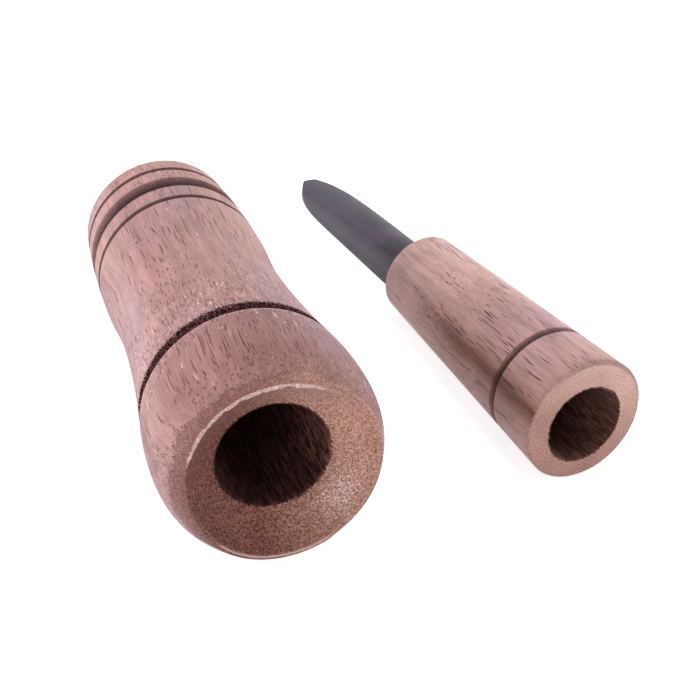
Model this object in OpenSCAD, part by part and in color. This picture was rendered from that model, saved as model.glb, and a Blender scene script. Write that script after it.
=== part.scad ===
// Turned walnut bird call, drawn apart as its owner lays it down: the barrel with its dished
// mouth, and beside it the insert that plugs into the barrel's ring end. The insert carries a
// moulded tone board, and a reed that a cork wedge clamps under the board.
// Both turned pieces lie on a flat surface at z = 0, and the barrel points along +y.

/* [Barrel] */
// Length of the barrel, from the mouth's crest to the ring end
barrel_len = 73.5; // [70:0.5:84]
// Largest radius of the bell round the mouth
bell_r = 16; // [15.6:0.1:18]
// Distance from the crest to the bell's largest circle
bell_at = 8.5; // [7:0.1:10]
// Radius of the long curve on the bell's back, seen from the side
bell_back_r = 49; // [42:1:70]
// Radius of the crest, where the dish meets the bell
crest_r = 12.7; // [11.5:0.1:13.6]
// Depth of the dish that the lips rest in
dish_depth = 4; // [3:0.1:5]
// Radius of the bore
bore_r = 8; // [7.6:0.05:8.3]
// Radius of the waist
waist_r = 12.6; // [11.8:0.1:12.8]
// Distance from the crest to the waist
waist_at = 43.5; // [38:0.5:47]
// Radius of the swell under the rings
swell_r = 12.9; // [12.8:0.1:13.6]
// Distance from the crest to the widest part of that swell
swell_at = 52; // [49:0.5:54]
// Radius of the swell's long curve, seen from the side
swell_back_r = 160; // [130:1:220]
// Rounding of the ring end's outer edge
end_round = 2.2; // [1:0.1:2.4]

/* [Grooves] */
// Distance from the crest to the burnt groove behind the bell
bell_groove_at = 16.8; // [15:0.1:19]
// Width and depth of the burnt groove
bell_groove = [2.3, 0.8];
// Distance from the crest to the first thin ring
ring_a_at = 56.1; // [54.5:0.1:58]
// Distance from the crest to the broad lanyard ring
ring_b_at = 60.7; // [59.5:0.1:62.5]
// Distance from the crest to the last thin ring
ring_c_at = 67.4; // [66.5:0.1:68.5]
// Width and depth of a thin ring
thin_ring = [1.1, 0.5];
// Width and depth of the broad ring that a lanyard loop sits in
lanyard_ring = [3.4, 1.3];
// Distance from the insert's outer end to its groove
insert_groove_at = 10.5; // [8:0.1:14]
// Width and depth of the insert's groove
insert_groove = [1.5, 0.75];

/* [Insert] */
// Length of the insert's wooden body
insert_len = 48.2; // [44:0.1:56]
// Radius of its outer end
insert_r = 10.3; // [9.9:0.1:11.5]
// Radius of its small end, which goes into the barrel first
tenon_r = 7.1; // [6.9:0.05:7.5]
// Chamfer round both of its ends
insert_chamfer = 0.4; // [0.2:0.05:0.7]
// Radius of the exhaust bore in its outer end
exhaust_r = 6.35; // [6.25:0.05:6.6]
// How far the exhaust bore sits off the body's axis, towards the underside
exhaust_off = 0.7; // [0:0.1:0.9]
// Radius of the small end's bore, which holds the tone board
tone_bore_r = 5.5; // [5.3:0.1:5.6]
// Length of that bore
tone_bore_len = 18; // [15:0.5:20]
// How much of the insert goes into the barrel
seat_depth = 22; // [20:0.5:28]

/* [Tone board] */
// How far the board stands out of the wood
board_len = 39.5; // [36:0.5:46]
// Half the width of the board where it leaves the wood
board_half = 5.2; // [4.9:0.05:5.4]
// Thickness of the board where it leaves the wood
board_rise = 5.4; // [5:0.1:5.8]
// Thickness of the board at its tip
board_tip = 1.2; // [0.8:0.1:1.8]
// Half the width of the board's blunt tip
board_tip_half = 1.15; // [0.8:0.05:2]
// Distance from the insert's axis down to the face that the reed lies on
reed_face = 2.4; // [1.8:0.1:2.8]
// Radius of the air channel under the reed
channel_r = 3; // [2.4:0.1:3.4]
// How far short of the tip the air channel runs out
channel_stop = 7; // [5:0.5:10]

/* [Reed and wedge] */
// Thickness of the reed
reed_t = 0.35; // [0.25:0.05:0.5]
// Half the width of the reed
reed_half = 4.3; // [3.8:0.1:4.5]
// How far the reed stops short of the board's tip
reed_short = 2.5; // [1.5:0.5:4]
// Angle at which the free reed stands off the board
reed_open = 0.8; // [0.5:0.1:1]
// Length of the cork wedge
wedge_len = 15; // [12:0.5:15]
// How much less radius the wedge has at its inner end
wedge_taper = 0.4; // [0.2:0.05:0.6]

/* [Clearances] */
// Gap round the tone board and the wedge in their bore
glue_gap = 0.05; // [0.02:0.01:0.1]
// Gap between the insert and its tapered seat in the barrel
seat_gap = 0.05; // [0.02:0.01:0.1]
// Gap that keeps the free reed off the board and off its clamped root
reed_gap = 0.05; // [0.03:0.01:0.1]

/* [How the pieces lie] */
// Sideways distance from the barrel's axis to the insert's outer end
insert_x = 55.4; // [40:0.1:80]
// Distance along the barrel from its crest to the insert's outer end
insert_y = 20.6; // [0:0.1:60]
// Angle that the insert is turned, as seen from above
insert_yaw = 12; // [-20:0.5:20]
// Angle that the insert has rolled over on its side
insert_roll = -6; // [-12:1:12]

/* [Hidden] */
$fn = 96;
// overrun of a cut past the surface that it opens
cut = 1;
// points along a curve of an outline
curve_n = 14;
side_n = 36;
// how square the bell's front is, as a superellipse
front_power_share = 2.2;
// how fast the flank behind the bell falls to the waist
flank_power_share = 1.6;
// bow of the dish, as a share of its depth
dish_bow_share = 0.12;
// where the board's sides start to draw in, and how suddenly
straight_share = 0.51;
draw_power_share = 3.8;
// how much wider the board's back opens towards the tip than it starts
back_flare_share = 2.15;
// how far the air channel narrows once it leaves the bore
channel_draw_share = 0.95;

// small end of the insert against its seat in the barrel
taper = (insert_r - tenon_r) / insert_len;
seat_r = tenon_r + taper * seat_depth + seat_gap;
seat_start = barrel_len - (seat_r - bore_r) / taper;
slope = atan(taper);

// outline of the barrel: bell, flank, waist and swell as functions of the distance z
function bell_back(z) = bell_r - bell_back_r + sqrt(bell_back_r ^ 2 - (z - bell_at) ^ 2);
shoulder_r = bell_back(bell_groove_at);
function flank(z) =
    let (u = (z - bell_groove_at) / (waist_at - bell_groove_at))
    waist_r + (shoulder_r - waist_r) * (1 - u) ^ flank_power_share;
function rise(z) =
    let (u = (z - waist_at) / (swell_at - waist_at))
    waist_r + (swell_r - waist_r) * (1 - cos(180 * u)) / 2;
function swell(z) = swell_r - swell_back_r + sqrt(swell_back_r ^ 2 - (z - swell_at) ^ 2);
function side_r(z) =
    z < bell_groove_at ? bell_back(z) : z < waist_at ? flank(z) : z < swell_at ? rise(z) : swell(z);

// a bowed line from p to q, pushed out sideways by bow at its middle
function bowed(p, q, bow) =
    let (d = (q - p) / norm(q - p), side = [-d.y, d.x])
    [for (i = [0 : curve_n]) let (t = i / curve_n) p + (q - p) * t + side * 4 * bow * t * (1 - t)];

dish = bowed([bore_r, dish_depth], [crest_r, 0], dish_depth * dish_bow_share);
bell_front = [
    for (i = [1 : curve_n])
        let (a = 90 * i / curve_n)
        [crest_r + (bell_r - crest_r) * sin(a) ^ (2 / front_power_share),
         bell_at * (1 - cos(a) ^ (2 / front_power_share))]
];
side_end = barrel_len - end_round;
side = [
    for (i = [1 : side_n])
        let (z = bell_at + (side_end - bell_at) * i / side_n)
        [side_r(z), z]
];
end_edge = [
    for (i = [1 : curve_n])
        let (a = 90 * i / curve_n)
        [side_r(side_end) - end_round * (1 - cos(a)), side_end + end_round * sin(a)]
];
bore_line = [[seat_r, barrel_len], [bore_r, seat_start]];

// the barrel lies on the bell's back and on the swell: the line that touches both long curves
back_drop = (bell_r - bell_back_r) - (swell_r - swell_back_r);
back_apart = swell_at - bell_at;
lie = acos((swell_back_r - bell_back_r) / norm([back_apart, back_drop])) - atan2(back_apart, back_drop);
barrel_h = bell_at * sin(lie) + (bell_r - bell_back_r) * cos(lie) + bell_back_r;
// the insert lies along its cone
insert_h = insert_r * cos(slope);

// middle of the ground that both pieces cover
left = -bell_r;
right = insert_x + insert_r * cos(insert_yaw);
front = -crest_r * sin(lie);
back = insert_y + (insert_len + board_len) * cos(slope) * cos(insert_yaw);
middle = [(left + right) / 2, (front + back) / 2];

// the tone board's outline from above, half its width at the share t of its length
function board_side(t, half, tip) =
    half - (half - tip) * (max(0, t - straight_share) / (1 - straight_share)) ^ draw_power_share;
function board_plan(half, tip, length) = concat(
    [for (i = [0 : side_n]) let (t = i / side_n) [board_side(t, half, tip), t * length]],
    [for (i = [side_n : -1 : 0]) let (t = i / side_n) [-board_side(t, half, tip), t * length]]
);

// the board's back is a cone that flares towards the tip while its crest comes down
back_fall = atan((board_rise - board_tip) / board_len);
flare = atan(board_rise * (back_flare_share - 1) / board_len);
back_start_r = board_rise * cos(back_fall) / cos(flare);
channel_fall = atan(channel_r / (board_len - channel_stop));

module on_barrel() {
    translate([-middle.x, -middle.y, barrel_h])
        rotate([-90 - lie, 0, 0])
            children();
}

module on_insert() {
    translate([insert_x - middle.x, insert_y - middle.y, insert_h])
        rotate([0, 0, insert_yaw])
            rotate([-90 - slope, 0, 0])
                rotate([0, 0, 180 + insert_roll])
                    children();
}

// round-bottomed groove turned into a surface of radius r, from at onwards
module turned_groove(at, r, size) {
    cutter_r = ((size[0] / 2) ^ 2 + size[1] ^ 2) / (2 * size[1]);
    rotate_extrude()
        translate([r - size[1] + cutter_r, at + size[0] / 2])
            circle(cutter_r);
}

module barrel_groove(at, size) {
    turned_groove(at, (side_r(at) + side_r(at + size[0])) / 2, size);
}

module barrel() {
    color("#a97f78")
        on_barrel()
            difference() {
                rotate_extrude()
                    polygon(concat(dish, bell_front, side, end_edge, bore_line));
                barrel_groove(bell_groove_at, bell_groove);
                barrel_groove(ring_a_at, thin_ring);
                barrel_groove(ring_b_at, lanyard_ring);
                barrel_groove(ring_c_at, thin_ring);
            }
}

module insert_body() {
    edge = insert_chamfer;
    color("#b08a82")
        on_insert()
            difference() {
                rotate_extrude()
                    polygon([
                        [0, 0],
                        [insert_r - edge, 0],
                        [insert_r - taper * edge, edge],
                        [tenon_r + taper * edge, insert_len - edge],
                        [tenon_r - edge, insert_len],
                        [0, insert_len]
                    ]);
                turned_groove(insert_groove_at, insert_r - taper * insert_groove_at, insert_groove);
                translate([0, -exhaust_off, -cut])
                    cylinder(r = exhaust_r, h = insert_len - tone_bore_len + cut);
                translate([0, 0, insert_len - tone_bore_len - cut])
                    cylinder(r = tone_bore_r, h = tone_bore_len + 2 * cut);
            }
}

// everything on the far side of the reed's face from the wedge
module above_face(shift, length) {
    translate([-insert_r, -reed_face, shift])
        cube([2 * insert_r, insert_r + reed_face, length]);
}

module board_plug() {
    intersection() {
        translate([0, 0, insert_len - tone_bore_len])
            cylinder(r = tone_bore_r - glue_gap, h = tone_bore_len);
        above_face(insert_len - tone_bore_len, tone_bore_len);
    }
}

module board_blade() {
    intersection() {
        translate([0, board_rise - reed_face, insert_len])
            rotate([90, 0, 0])
                linear_extrude(board_rise)
                    polygon(board_plan(board_half, board_tip_half, board_len));
        translate([0, -reed_face, insert_len])
            rotate([back_fall + flare, 0, 0])
                translate([0, 0, -2 * board_rise])
                    cylinder(
                        r1 = back_start_r - 2 * board_rise * tan(flare),
                        r2 = back_start_r + 2 * board_len * tan(flare),
                        h = 2 * board_rise + 2 * board_len
                    );
    }
}

module air_channel() {
    translate([0, -reed_face, insert_len - tone_bore_len - cut])
        cylinder(r = channel_r, h = tone_bore_len + cut);
    translate([0, -reed_face, insert_len])
        rotate([channel_fall, 0, 0])
            translate([0, 0, -channel_r])
                cylinder(r = channel_r * channel_draw_share, h = board_len);
}

module toneboard() {
    color("#57505a")
        on_insert()
            difference() {
                union() {
                    board_plug();
                    board_blade();
                }
                air_channel();
            }
}

module wedge() {
    outer_r = tone_bore_r - glue_gap;
    color("#b98b5e")
        on_insert()
            difference() {
                translate([0, 0, insert_len - wedge_len])
                    cylinder(r1 = outer_r - wedge_taper, r2 = outer_r, h = wedge_len);
                translate([-insert_r, -reed_face - reed_t, insert_len - wedge_len - cut])
                    cube([2 * insert_r, 2 * insert_r, wedge_len + 2 * cut]);
            }
}

module reed_root() {
    color("#d8d2c4")
        on_insert()
            translate([-reed_half, -reed_face - reed_t, insert_len - wedge_len])
                cube([2 * reed_half, reed_t, wedge_len]);
}

module reed_tongue() {
    reed_len = board_len - reed_short;
    color("#d8d2c4")
        on_insert()
            translate([0, -reed_face - reed_gap, insert_len])
                rotate([reed_open, 0, 0])
                    translate([0, 0, reed_gap])
                        rotate([90, 0, 0])
                            linear_extrude(reed_t)
                                polygon(board_plan(reed_half, board_tip_half, reed_len));
}

barrel();
insert_body();
toneboard();
wedge();
reed_root();
reed_tongue();
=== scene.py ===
# %% [markdown]
# # A turned walnut bird call, drawn apart
# The call is two turned pieces of walnut. The barrel has a dished mouth, a burnt groove behind its
# bell and three rings at its far end. The insert tapers, and holds a moulded tone board with a thin
# reed, which a cork wedge clamps. This lesson dresses the CAD model, which stays a fixed frame:
# turned pieces are spun again from their outlines with far more detail, and get a walnut whose
# pores and growth layers run through the solid wood, so that side grain and end grain agree.

# %% The fixed frame
import math

import bmesh
import bpy
from mathutils import Matrix, Vector, noise


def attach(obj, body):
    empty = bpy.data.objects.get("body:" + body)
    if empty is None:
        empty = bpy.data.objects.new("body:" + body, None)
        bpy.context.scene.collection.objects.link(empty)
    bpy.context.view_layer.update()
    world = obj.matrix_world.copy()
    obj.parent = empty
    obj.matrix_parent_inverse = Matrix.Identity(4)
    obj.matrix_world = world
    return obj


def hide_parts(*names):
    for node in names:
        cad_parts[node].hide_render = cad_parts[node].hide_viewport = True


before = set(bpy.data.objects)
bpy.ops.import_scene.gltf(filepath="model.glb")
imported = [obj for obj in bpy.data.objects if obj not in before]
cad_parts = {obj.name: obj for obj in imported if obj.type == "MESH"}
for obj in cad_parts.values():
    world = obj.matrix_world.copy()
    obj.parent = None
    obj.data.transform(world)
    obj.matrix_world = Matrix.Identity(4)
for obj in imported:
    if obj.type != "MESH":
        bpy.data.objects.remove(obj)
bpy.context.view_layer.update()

# %% [markdown]
# ## Units and one helper for sizes
# A turner thinks in millimetres, and Blender's scene is in metres. Every outline below is written in
# millimetres, and one matrix for each piece turns it to metres and lays it in its place.

# %% Units
MM = 0.001
SCALE_TO_METRES = Matrix.Scale(MM, 4)


def turn(degrees, axis):
    return Matrix.Rotation(math.radians(degrees), 4, axis)


# %% [markdown]
# ## Driving sizes
# They are those of the CAD source. The outline of the barrel follows from the bell, the waist and
# the swell, and the insert is a plain cone. All other places are worked out from them.

# %% Sizes of the barrel
BARREL_LEN = 73.5
BELL_R, BELL_AT, BELL_BACK_R = 16.0, 8.5, 49.0
CREST_R, DISH_DEPTH, DISH_BOW = 12.7, 4.0, 0.12
BORE_R = 8.0
WAIST_R, WAIST_AT = 12.6, 43.5
SWELL_R, SWELL_AT, SWELL_BACK_R = 12.9, 52.0, 160.0
END_ROUND = 2.2
FRONT_POWER, FLANK_POWER = 2.2, 1.6
BELL_GROOVE = (16.8, 2.3, 0.8)
RING_A = (56.1, 1.1, 0.5)
RING_B = (60.7, 3.4, 1.3)
RING_C = (67.4, 1.1, 0.5)
SEAT_DEPTH, SEAT_GAP = 22.0, 0.05

# %% Sizes of the insert
INSERT_LEN, INSERT_R, TENON_R = 48.2, 10.3, 7.1
INSERT_CHAMFER = 0.4
INSERT_GROOVE = (10.5, 1.5, 0.75)
EXHAUST_R, EXHAUST_OFF = 6.35, 0.7
TONE_BORE_R, TONE_BORE_LEN = 5.5, 18.0
BOARD_LEN = 39.5
INSERT_X, INSERT_Y, INSERT_YAW, INSERT_ROLL = 55.4, 20.6, 12.0, -6.0
TAPER = (INSERT_R - TENON_R) / INSERT_LEN
SLOPE = math.degrees(math.atan(TAPER))
SEAT_R = TENON_R + TAPER * SEAT_DEPTH + SEAT_GAP
SEAT_START = BARREL_LEN - (SEAT_R - BORE_R) / TAPER

# %% [markdown]
# ## Where the two pieces lie
# The barrel rests on two long curves, the bell's back and the swell, so it tips by a small angle.
# The insert rests along its cone. The origin is the middle of the ground that both cover.

# %% Places of the barrel and the insert
back_drop = (BELL_R - BELL_BACK_R) - (SWELL_R - SWELL_BACK_R)
back_apart = SWELL_AT - BELL_AT
lie = math.degrees(
    math.acos((SWELL_BACK_R - BELL_BACK_R) / math.hypot(back_apart, back_drop))
    - math.atan2(back_apart, back_drop)
)
lie_sin, lie_cos = math.sin(math.radians(lie)), math.cos(math.radians(lie))
barrel_h = BELL_AT * lie_sin + (BELL_R - BELL_BACK_R) * lie_cos + BELL_BACK_R
insert_h = INSERT_R * math.cos(math.radians(SLOPE))
yaw_cos = math.cos(math.radians(INSERT_YAW))
middle_x = (INSERT_X + INSERT_R * yaw_cos - BELL_R) / 2
insert_reach = (INSERT_LEN + BOARD_LEN) * math.cos(math.radians(SLOPE)) * yaw_cos
middle_y = (INSERT_Y + insert_reach - CREST_R * lie_sin) / 2

on_barrel = (
    SCALE_TO_METRES
    @ Matrix.Translation((-middle_x, -middle_y, barrel_h))
    @ turn(-90 - lie, "X")
)
on_insert = (
    SCALE_TO_METRES
    @ Matrix.Translation((INSERT_X - middle_x, INSERT_Y - middle_y, insert_h))
    @ turn(INSERT_YAW, "Z")
    @ turn(-90 - SLOPE, "X")
    @ turn(180 + INSERT_ROLL, "Z")
)
print("barrel tips by", round(lie, 2), "degrees; insert by", round(SLOPE, 2))

# %% [markdown]
# ## The camera
# The photograph looks down on the pair from the mouth's side, a little from the left, and the
# picture is turned in its own plane, which the roll takes up. The lens is long, so parallel edges
# hardly close up.

# %% The camera
PHOTO_SIDE = 700
FOCAL_PIXELS = 2000
SHIFT_PIXELS = (-0.8, 0.9)
SENSOR = 36.0
NEAREST, FARTHEST = 0.01, 20
CAMERA_AT = Vector((-109.76, -252.05, 166.96)) * MM
CAMERA_HEADING, CAMERA_TILT, CAMERA_ROLL = 24.433, 30.926, 14.027
camera_data = bpy.data.cameras.new("camera")
camera_data.sensor_width = SENSOR
camera_data.lens = SENSOR * FOCAL_PIXELS / PHOTO_SIDE
camera_data.shift_x, camera_data.shift_y = [pixels / PHOTO_SIDE for pixels in SHIFT_PIXELS]
camera_data.clip_start, camera_data.clip_end = NEAREST, FARTHEST
camera = bpy.data.objects.new("camera", camera_data)
camera.matrix_world = (
    Matrix.Translation(CAMERA_AT)
    @ turn(-CAMERA_HEADING, "Z")
    @ turn(90 - CAMERA_TILT, "X")
    @ turn(CAMERA_ROLL, "Z")
)
bpy.context.scene.collection.objects.link(camera)
bpy.context.scene.camera = camera
print("lens", round(camera_data.lens, 1), "mm")

# %% [markdown]
# ## Outline of the barrel
# A lathe makes only surfaces of revolution, so the whole shape is one outline. It is written as the
# turner would draw it: a superellipse round the mouth, the bell's long back, a flank that falls to
# the waist, a rise to the swell, and grooves cut with round-nosed tools. A groove is the same
# circle as the tool, so its two edges are crisp and its floor is round.


# %% Long curves of the side
def bell_back(z):
    return BELL_R - BELL_BACK_R + math.sqrt(BELL_BACK_R**2 - (z - BELL_AT) ** 2)


def flank(z):
    share = (z - BELL_GROOVE[0]) / (WAIST_AT - BELL_GROOVE[0])
    return WAIST_R + (bell_back(BELL_GROOVE[0]) - WAIST_R) * (1 - share) ** FLANK_POWER


def rise(z):
    share = (z - WAIST_AT) / (SWELL_AT - WAIST_AT)
    return WAIST_R + (SWELL_R - WAIST_R) * (1 - math.cos(math.pi * share)) / 2


def swell(z):
    return SWELL_R - SWELL_BACK_R + math.sqrt(SWELL_BACK_R**2 - (z - SWELL_AT) ** 2)


def barrel_side(z):
    if z < BELL_GROOVE[0]:
        return bell_back(z)
    if z < WAIST_AT:
        return flank(z)
    return rise(z) if z < SWELL_AT else swell(z)


def insert_side(z):
    return INSERT_R - TAPER * z


# %% Grooves of a round-nosed tool
def groove_floor(z, groove, side):
    """radius of the tool's cut at z, or none outside the groove"""
    at, width, depth = groove
    if not at < z < at + width:
        return None
    tool_r = ((width / 2) ** 2 + depth**2) / (2 * depth)
    surface = (side(at) + side(at + width)) / 2
    return surface - depth + tool_r - math.sqrt(tool_r**2 - (z - at - width / 2) ** 2)


def turned_r(z, side, grooves):
    cuts = [groove_floor(z, groove, side) for groove in grooves]
    return min([side(z)] + [cut for cut in cuts if cut is not None])


def stations(start, end, step, grooves, groove_steps=14, lip=0.12):
    """places along a side: even steps, and closer ones through each groove and over its lips"""
    places = {start, end}
    count = round((end - start) / step)
    for i in range(1, count):
        z = start + (end - start) * i / count
        if all(not (at - 2 * lip < z < at + width + 2 * lip) for at, width, _ in grooves):
            places.add(z)
    for at, width, _ in grooves:
        places.update((at - 2 * lip, at - lip, at + width + lip, at + width + 2 * lip))
        places.update(at + width * i / groove_steps for i in range(groove_steps + 1))
    return sorted(places)


# %% [markdown]
# ## Spinning an outline
# bmesh's spin operator is the lathe. The outline goes in as a chain of edges in the plane that
# holds the axis. Spin looks through the whole mesh at each step, so a sixteenth of the turn is
# spun, then doubled four times, and the seams are merged. Spin may turn a shape inside out, so
# the normals are worked out again once the shell is closed.


# %% The lathe
TURN_STEPS = 240
DOUBLINGS = 4
# outlines are in millimetres, and points closer than this many are one
MERGE_WITHIN = 0.0005


def chain(bm, points, closed=False):
    verts = [bm.verts.new((r, 0, z)) for r, z in points]
    pairs = list(zip(verts, verts[1:]))
    if closed:
        pairs.append((verts[-1], verts[0]))
    return verts + [bm.edges.new(pair) for pair in pairs]


def lathe(bm, outline, closed=False):
    """one turn of an outline of (radius, z) points round z"""
    share = math.tau / 2**DOUBLINGS
    bmesh.ops.spin(
        bm,
        geom=chain(bm, outline, closed),
        cent=(0, 0, 0),
        axis=(0, 0, 1),
        dvec=(0, 0, 0),
        angle=share,
        steps=TURN_STEPS // 2**DOUBLINGS,
    )
    for i in range(DOUBLINGS):
        everything = bm.verts[:] + bm.edges[:] + bm.faces[:]
        copies = bmesh.ops.duplicate(bm, geom=everything)["geom"]
        copied_verts = [v for v in copies if isinstance(v, bmesh.types.BMVert)]
        turned = Matrix.Rotation(share * 2**i, 3, "Z")
        bmesh.ops.rotate(bm, verts=copied_verts, cent=(0, 0, 0), matrix=turned)
    bmesh.ops.remove_doubles(bm, verts=bm.verts, dist=MERGE_WITHIN)


def bowed(start, end, bow, count):
    """a line of points from start to end, pushed out sideways at its middle"""
    start, end = Vector(start), Vector(end)
    along = (end - start).normalized()
    aside = Vector((-along.y, along.x))
    steps = [i / count for i in range(count + 1)]
    return [tuple(start + (end - start) * t + aside * 4 * bow * t * (1 - t)) for t in steps]


def arc(centre, radius, first, last, count):
    """points of an arc from the angle first to last, in degrees from the outward direction"""
    angles = [math.radians(first + (last - first) * i / count) for i in range(count + 1)]
    return [(centre[0] + radius * math.cos(a), centre[1] + radius * math.sin(a)) for a in angles]


def finish_piece(bm, name, place, body, replaces, materials, merge_within=MERGE_WITHIN):
    """a closed, outward-facing mesh in its place, riding on its CAD body"""
    bmesh.ops.remove_doubles(bm, verts=bm.verts, dist=merge_within)
    bmesh.ops.recalc_face_normals(bm, faces=bm.faces)
    bmesh.ops.transform(bm, matrix=place, verts=bm.verts)
    mesh = bpy.data.meshes.new(name)
    bm.to_mesh(mesh)
    bm.free()
    mesh.shade_smooth()
    for material in materials:
        mesh.materials.append(material)
    piece = bpy.data.objects.new(name, mesh)
    bpy.context.scene.collection.objects.link(piece)
    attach(piece, body)
    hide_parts(*replaces)
    print(name, len(mesh.polygons), "faces")
    return piece


# %% [markdown]
# ## Nodes and colours
# One function adds any node, sets its options and links or fills its sockets. Colours are picked as
# sRGB hex values, as a painter reads them off a swatch, and one function makes them linear.


# %% Helpers for materials
def linear(hex_colour):
    values = [int(hex_colour[i : i + 2], 16) / 255 for i in (1, 3, 5)]
    return tuple(v / 12.92 if v <= 0.04045 else ((v + 0.055) / 1.055) ** 2.4 for v in values) + (1.0,)


def add_node(tree, kind, inputs=None, **settings):
    """a node with its options set and its inputs linked or filled; returns its first live output"""
    node = tree.nodes.new(kind)
    for name, value in settings.items():
        setattr(node, name, value)
    for key, value in (inputs or {}).items():
        if isinstance(value, bpy.types.NodeSocket):
            tree.links.new(value, node.inputs[key])
        else:
            node.inputs[key].default_value = value
    return next((socket for socket in node.outputs if socket.enabled), node)


def new_material(name):
    material = bpy.data.materials.new(name)
    material.use_nodes = True
    shader = material.node_tree.nodes["Principled BSDF"]
    return material, material.node_tree, shader


# %% [markdown]
# ## Walnut
# Walnut is a ring-porous brown hardwood. A reader of its surface sees three things. Growth layers
# run through the blank as nearly flat sheets, pale and dark by turns. Fibres streak it along the
# grain. Open pores, 0.1 to 0.3 mm across and some millimetres long, show as short dark lines on side
# grain and as dots on end grain.
#
# A picture of veneer could be wrapped round each piece, but it would break at every rim, where side
# grain turns into end grain. So all three are solid patterns here, in the piece's own millimetres
# with z along the grain, and the dish cuts the same pores that line the flanks.
#
# Marks that a lathe leaves, such as the drill's scorched wall, and painted shade in the grooves and
# painted highlights on edges, follow the surface instead, and are written on the mesh as attributes when it
# is made.

# %% Names of nodes
MAPPING = "ShaderNodeMapping"
NOISE = "ShaderNodeTexNoise"
VORONOI = "ShaderNodeTexVoronoi"
MATH = "ShaderNodeMath"
# inputs 0, 6 and 7 of a colour mix are its share and its two colours
MIX = "ShaderNodeMix"
# a map range reads its input 0 from 1 to 2, and gives 3 to 4, or 0 to 1 when they are left out
RANGE = "ShaderNodeMapRange"
RAMP = "ShaderNodeValToRGB"
VECTOR = "ShaderNodeVectorMath"
ATTRIBUTE = "ShaderNodeAttribute"

# %% Patterns of walnut
# nearly all of a noise lies between these two values
NOISE_LOW, NOISE_HIGH = 0.3, 0.7
# pores start to open at the first crowd, and are at their widest from the second
PORES_FROM, PORES_FULL = 0.46, 0.55


def local_millimetres(tree, place):
    """the piece's own millimetres, with z along its axis"""
    here = add_node(tree, "ShaderNodeTexCoord").node.outputs["Object"]
    inputs = {
        "Vector": here,
        "Location": place.to_translation(),
        "Rotation": place.to_euler(),
        "Scale": (MM, MM, MM),
    }
    return add_node(tree, MAPPING, inputs, vector_type="TEXTURE")


def stretched_noise(tree, coordinates, width, length, detail, roughness):
    """noise whose grains are width across the grain and length along it, in millimetres"""
    size = (1 / width, 1 / width, 1 / length)
    cells = add_node(tree, MAPPING, {"Vector": coordinates, "Scale": size})
    return add_node(tree, NOISE, {"Vector": cells, "Scale": 1.0, "Detail": detail, "Roughness": roughness})


def vessel_pores(tree, coordinates, crowd, cell, length, widest, edge):
    """needle-shaped pores, one in each cell of that width and length, as wide as crowd lets them be"""
    size = (1 / cell, 1 / cell, 1 / length)
    cells = add_node(tree, MAPPING, {"Vector": coordinates, "Scale": size})
    gap = add_node(tree, VORONOI, {"Vector": cells, "Scale": 1.0, "Randomness": 1.0})
    reach = add_node(tree, RANGE, {0: crowd, 1: PORES_FROM, 2: PORES_FULL, 3: 0.0, 4: widest})
    inside = add_node(tree, MATH, {0: reach, 1: gap}, operation="SUBTRACT")
    return add_node(tree, RANGE, {0: inside, 1: 0.0, 2: edge})


def toned(tree, colour, pattern, low, high):
    """a colour made darker and lighter by a pattern, between the shares low and high"""
    tone = add_node(tree, RANGE, {0: pattern, 1: NOISE_LOW, 2: NOISE_HIGH, 3: low, 4: high})
    return add_node(tree, VECTOR, {0: colour, "Scale": tone}, operation="SCALE")


def painted(tree, share, below, above):
    """one colour over another by a share; each is a hex colour or a socket"""
    below = linear(below) if isinstance(below, str) else below
    above = linear(above) if isinstance(above, str) else above
    return add_node(tree, MIX, {0: share, 6: below, 7: above}, data_type="RGBA")


# %% Marks carried by the mesh
# a mark's fade breaks up over these values of a noise, and ends in a short soft edge
BREAKS_FROM, BREAKS_TO = 0.32, 0.68
RAGGED_REACH, RAGGED_EDGE = 1.2, 0.15


def mark(tree, name):
    """how strongly the mesh carries one of the marks at this place, from 0 to 1"""
    return add_node(tree, ATTRIBUTE, attribute_name=name).node.outputs["Fac"]


def ragged(tree, share, pattern):
    """a mark whose fade breaks up into the grains of a pattern"""
    grain = add_node(tree, RANGE, {0: pattern, 1: BREAKS_FROM, 2: BREAKS_TO, 4: -1.0})
    over = add_node(tree, MATH, {0: share, 1: RAGGED_REACH, 2: grain}, operation="MULTIPLY_ADD")
    return add_node(tree, RANGE, {0: over, 1: 0.0, 2: RAGGED_EDGE})


# %% [markdown]
# ### Side grain
# On a flank the surface runs along the fibres, so it looks streaked. Sheets of early and late wood
# lie under the streaks, and a blank may get plainer along its length. Warm and violet stains lie
# over them, and the skin's oil darkens the stretch that hands hold.

# %% Growth layers
# how far the layers fade into the last one where the blank is plainest
PLAINEST = 0.85


def growth_layers(tree, grain, layers, plain_along):
    """nearly flat sheets across the blank: layers is a list of (share across it, hex colour)"""
    height = add_node(tree, "ShaderNodeSeparateXYZ", {0: grain}).node.outputs["Y"]
    share = add_node(tree, RANGE, {0: height, 1: -BELL_R, 2: BELL_R})
    ramp = add_node(tree, RAMP, {0: share})
    stops = ramp.node.color_ramp.elements
    while len(stops) < len(layers):
        stops.new(0.5)
    for stop, (where, colour) in zip(stops, layers):
        stop.position = where
        stop.color = linear(colour)
    # the blank gets plainer along this stretch of it
    along = add_node(tree, "ShaderNodeSeparateXYZ", {0: grain}).node.outputs["Z"]
    plain = add_node(tree, RANGE, {0: along, 1: plain_along[0], 2: plain_along[1], 4: PLAINEST})
    return painted(tree, plain, ramp, layers[-1][1])


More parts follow.
